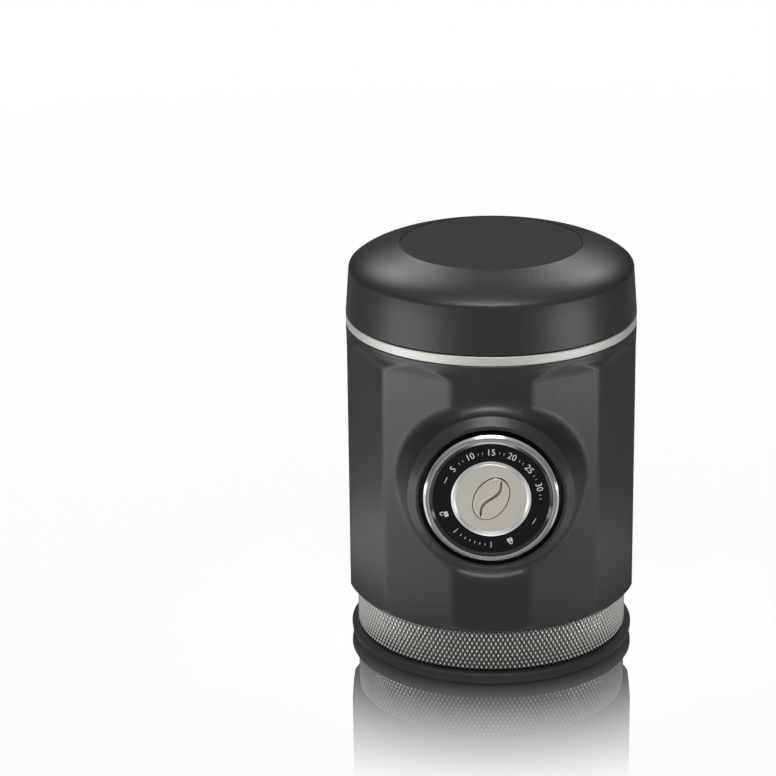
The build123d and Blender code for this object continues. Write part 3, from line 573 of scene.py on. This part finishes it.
def padlock(opened):
    """Outlines of a padlock: its body with a keyhole, and its shackle."""
    body_width, body_height, body_drop, keyhole_radius = 1.30 * MM, 0.95 * MM, 0.35 * MM, 0.17 * MM
    outer_radius, inner_radius, shackle_rise, bottom = 0.47 * MM, 0.27 * MM, 0.38 * MM, 0.10 * MM
    lift, shift, open_gap = (0.30 * MM, 0.42 * MM, 0.42 * MM) if opened else (0, 0, 0)
    body = [(u, v - body_drop) for u, v in bar(body_width, body_height)]
    keyhole = arc(keyhole_radius, 0, 330, 11, (0, -body_drop))
    outer = arc(outer_radius, 0, 180, 12, (shift, shackle_rise + lift))
    inner = arc(inner_radius, 180, 0, 12, (shift, shackle_rise + lift))
    left_end = bottom + open_gap
    shackle = [
        (shift + inner_radius, bottom), (shift + outer_radius, bottom), *outer,
        (shift - outer_radius, left_end), (shift - inner_radius, left_end), *inner,
    ]
    return [body, keyhole], [shackle]


def printed(outlines, angle):
    """Mark on the dial with those outlines."""
    return on_dial(flat_mesh("mark", outlines, print_thickness), angle)


def number(value, angle):
    """Number on the dial.  The font's figures are lower than its size."""
    curve = bpy.data.curves.new("number", "FONT")
    curve.body, curve.size, curve.extrude = str(value), figure_height * font_share, print_thickness / 2
    curve.align_x, curve.align_y, curve.resolution_u = "CENTER", "CENTER", 3
    return on_dial(plain_mesh(curve), angle)


# Outwards from the row of ticks, on either side: an end bar, a padlock and a dash.  Then the scale,
# which has two ticks between each pair of numbers.
end_bar, row_tick = bar(0.16 * MM, 1.5 * MM), bar(0.14 * MM, 0.55 * MM)
dash, scale_tick = bar(1.7 * MM, 0.16 * MM), bar(0.10 * MM, 0.55 * MM)
row_ends, row_first, row_pitch, row_count = (180, 226), 187, 6.2, 6
dash_angles, lock_angles = (119, 294), ((157, False), (250, True))
scale_first, scale_pitch, scale_count, number_every, first_number = -50, 5, 30, 5, 5
figure_height, font_share = 1.6 * MM, 1.4

marks = [printed([end_bar], angle) for angle in row_ends]
marks += [printed([row_tick], row_first + row_pitch * step) for step in range(row_count)]
marks += [printed([dash], angle) for angle in dash_angles]
for angle, opened in lock_angles:
    marks += [printed(outlines, angle) for outlines in padlock(opened)]
for step in range(scale_count):
    angle = scale_first + scale_pitch * step
    if step % number_every in (2, 3):
        marks.append(printed([scale_tick], angle))
    elif step % number_every == 0:
        marks.append(number(first_number + step, angle))
as_piece("dial_marks", joined("dial_marks", marks), marking, "button", sharp=None)


def bean():
    """Coffee bean in relief: two halves either side of a curved crease."""
    long, short, crease, tilt_angle = 5.6 * MM, 3.9 * MM, 0.34 * MM, radians(-28)
    crease_bend, crease_reach, rim_steps, crease_steps = 0.95 * MM, 0.93, 24, 16
    halves = []
    for side in (-1, 1):
        outline = []
        for step in range(rim_steps + 1):
            turn = radians(-90 * side + 180 * step / rim_steps)
            outline.append((short * cos(turn), long * sin(turn)))
        for step in range(1, crease_steps):
            share = step / crease_steps
            along = long * (1 - 2 * share) * side
            bend = crease_bend * sin(pi * along / long)
            outline.append((bend + side * crease, along * crease_reach))
        halves.append([Matrix.Rotation(tilt_angle, 2) @ Vector(spot) for spot in outline])
    return halves


def emblem(name, thickness, rounding, grown_by=0.0):
    """The bean as a plate that stands on the badge, made wider all round if asked."""
    reliefs = []
    for half in bean():
        plate = flat_mesh(name, [half], thickness, rounding, grown_by)
        for vert in plate.vertices:
            vert.co = (vert.co.x, -(badge_face + thickness / 2 + vert.co.z), button_z + vert.co.y)
        reliefs.append(plate)
    return joined(name, reliefs)


bean_height, bean_rounding, shadow_height, shadow_margin = 0.16 * MM, 0.10 * MM, 0.02 * MM, 0.28 * MM
bean_mesh = emblem("badge_bean", bean_height, bean_rounding)
as_piece("badge_bean", bean_mesh, badge_nickel, "button")
shadow_mesh = emblem("bean_shadow", shadow_height, 0.0, shadow_margin)
as_piece("bean_shadow", shadow_mesh, bean_shadow, "button")


# ---------------------------------------------------------------- return spring
def coil(graph, size):
    """Helix of round wire along the pump's axis."""
    path = graph.node(
        "GeometryNodeCurveSpiral",
        {
            "Resolution": size["Steps"],
            "Rotations": size["Turns"],
            "Start Radius": size["Radius"],
            "End Radius": size["Radius"],
            "Height": size["Length"],
        },
    )
    section = {"Resolution": wire_sides, "Radius": size["Wire"]}
    wire = graph.node("GeometryNodeCurvePrimitiveCircle", section, mode="RADIUS")
    shape = graph.node("GeometryNodeCurveToMesh", {"Curve": path, "Profile Curve": wire, "Fill Caps": True})
    return graph.node("GeometryNodeTransform", {"Geometry": shape, "Rotation": (pi / 2, 0, 0)})


spring_wire, spring_turns, steps_per_turn, wire_sides = 0.6 * MM, 5.0, 48, 10
spring_seat, spring_end = -back("return_spring"), -face("return_spring")
spring_sizes = {
    "Steps": steps_per_turn,
    "Turns": spring_turns,
    "Radius": reach("return_spring") - spring_wire,
    "Length": spring_seat - spring_end - 2 * spring_wire,
    "Wire": spring_wire,
}
spring_mesh = grown("return_coil", spring_sizes, coil)
for vert in spring_mesh.vertices:
    vert.co += Vector((0, spring_seat - spring_wire, button_z))
spring = as_piece("return_coil", spring_mesh, spring_steel, None, ["return_spring"], 60)
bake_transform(spring)


# ---------------------------------------------------------------- floor, light and camera
def floor():
    """White acrylic table top.

    To the camera it is white, with a mirror that fades out away from the foot.  To the part's own
    shine and to its light it is a blurred mirror over a grey ground.
    """
    half = 3
    corners = [(-half, -half, 0), (half, -half, 0), (half, half, 0), (-half, half, 0)]
    mesh = bpy.data.meshes.new("floor")
    mesh.from_pydata(corners, [], [(0, 1, 2, 3)])
    plate = placed("floor", mesh)
    material = bpy.data.materials.new("white_acrylic")
    material.use_nodes = True
    graph = Graph(material.node_tree)
    graph.tree.nodes.clear()
    place = graph.node("ShaderNodeTexCoord", output="Object")
    away = graph.node("ShaderNodeVectorMath", [place], output="Value", operation="LENGTH")
    fade_stops = ((0.30, 0.97), (0.385, 0.86), (0.50, 0.60), (0.62, 0.31), (0.76, 0.0))
    fade = graph.ramp(away * (1 / fade_distance), *fade_stops)
    seen = graph.node("ShaderNodeLightPath")
    camera_ray = seen.out("Is Camera Ray")
    shade = graph.mix(camera_ray, [0.45] * 3, [0.9] * 3)
    matt = graph.node("ShaderNodeBsdfDiffuse", {"Color": shade})
    white = graph.node("ShaderNodeEmission", {"Color": (1, 1, 1, 1), "Strength": 1.0})
    glow = graph.ramp(away, (0.10, 0.85), (0.60, 1.0))
    base = graph.node("ShaderNodeMixShader", [camera_ray * glow, matt, white])
    tint = graph.mix(camera_ray, [0.9] * 3, [mirror_tint] * 3)
    blur, blurred_share = 0.2, 0.8
    mirror = graph.node("ShaderNodeBsdfGlossy", {"Color": tint, "Roughness": (1 - camera_ray) * blur})
    share = camera_ray * fade + (1 - camera_ray) * blurred_share
    surface = graph.node("ShaderNodeMixShader", [share, base, mirror])
    graph.node("ShaderNodeOutputMaterial", {"Surface": surface})
    mesh.materials.append(material)


def lamp(name, where, aim, width, height, power):
    """Rectangle of light at a spot, turned to another, that the camera doesn't see."""
    light = bpy.data.lights.new(name, "AREA")
    light.shape, light.size, light.size_y, light.energy = "RECTANGLE", width, height, power
    holder = placed(name, light)
    holder.location = where
    holder.rotation_euler = (Vector(aim) - Vector(where)).to_track_quat("-Z", "Y").to_euler()
    holder.visible_camera = False
    return holder


def table_lamp(name, azimuth, distance, width, length, power):
    """Lamp that lies on the table beside the part and shines up."""
    holder = lamp(name, (0, 0, 0), (0, 0, 1), width, length, power)
    turn, clearance = radians(azimuth), 2 * MM
    holder.location = (distance * sin(turn), -distance * cos(turn), clearance)
    holder.rotation_euler = (pi, 0, turn)


def around(azimuth, elevation, distance):
    """Spot about the part's middle, at an azimuth that runs from the front towards +X."""
    turn, rise, middle_height = radians(azimuth), radians(elevation), 0.05
    flat = distance * cos(rise)
    return (flat * sin(turn), -flat * cos(turn), middle_height + distance * sin(rise))


def surroundings():
    """White behind the part and in the table's mirror, and a dim room in the part's own shine."""
    world = bpy.data.worlds.new("studio")
    bpy.context.scene.world = world
    world.use_nodes = True
    graph = Graph(world.node_tree)
    graph.tree.nodes.clear()
    seen = graph.node("ShaderNodeLightPath")
    white = seen.out("Is Camera Ray").math("MAXIMUM", seen.out("Is Transmission Ray"))
    mirrored = seen.out("Is Singular Ray") * (1 - white)
    shine = seen.out("Is Glossy Ray") * (1 - white) * (1 - mirrored)
    way = graph.node("ShaderNodeSeparateXYZ", [graph.node("ShaderNodeTexCoord")])
    front = graph.ramp(0.5 - way.out("Y") * 0.5, (0.25, 0.03), (0.85, 0.66))
    ceiling, fill = 0.5, 0.30
    room = front + way.out("Z").math("MAXIMUM", 0.0) ** 2 * ceiling
    other = (1 - white) * (1 - shine) * (1 - mirrored)
    strength = white + mirrored * (1 / mirror_tint) + shine * room + other * fill
    sky = graph.node("ShaderNodeBackground", {"Color": (1, 1, 1, 1), "Strength": strength})
    graph.node("ShaderNodeOutputWorld", {"Surface": sky})


floor()
surroundings()
lamp_aim = (0, 0, 0.06)
table_lamp("left_table", -62, 0.44, 0.30, 0.50, 2.1)
table_lamp("right_table", 61, 0.48, 0.24, 0.46, 2.0)
table_lamp("left_near", -68, 0.125, 0.15, 0.12, 0.075)
table_lamp("right_near", 64, 0.155, 0.14, 0.18, 0.06)
lamp("back_left", around(-155, 42, 0.9), lamp_aim, 0.30, 0.25, 1.4)
lamp("back_right", around(155, 42, 0.9), lamp_aim, 0.30, 0.25, 1.4)
lamp("top_box", around(-5, 73, 0.9), lamp_aim, 0.44, 0.22, 4.2)

camera_back, camera_height, dip_angle, pan_angle, focal_length = 0.7249, 0.3274, 19.81, 1.943, 141.0
camera = placed("camera", bpy.data.cameras.new("camera"))
camera.location = (0, -camera_back, camera_height)
dip, pan = Matrix.Rotation(radians(90 - dip_angle), 4, "X"), Matrix.Rotation(radians(pan_angle), 4, "Y")
camera.rotation_euler = (dip @ pan).to_euler()
camera.data.sensor_width, camera.data.lens = 36, focal_length
bpy.context.scene.camera = camera
bpy.context.scene.view_settings.view_transform = "Standard"
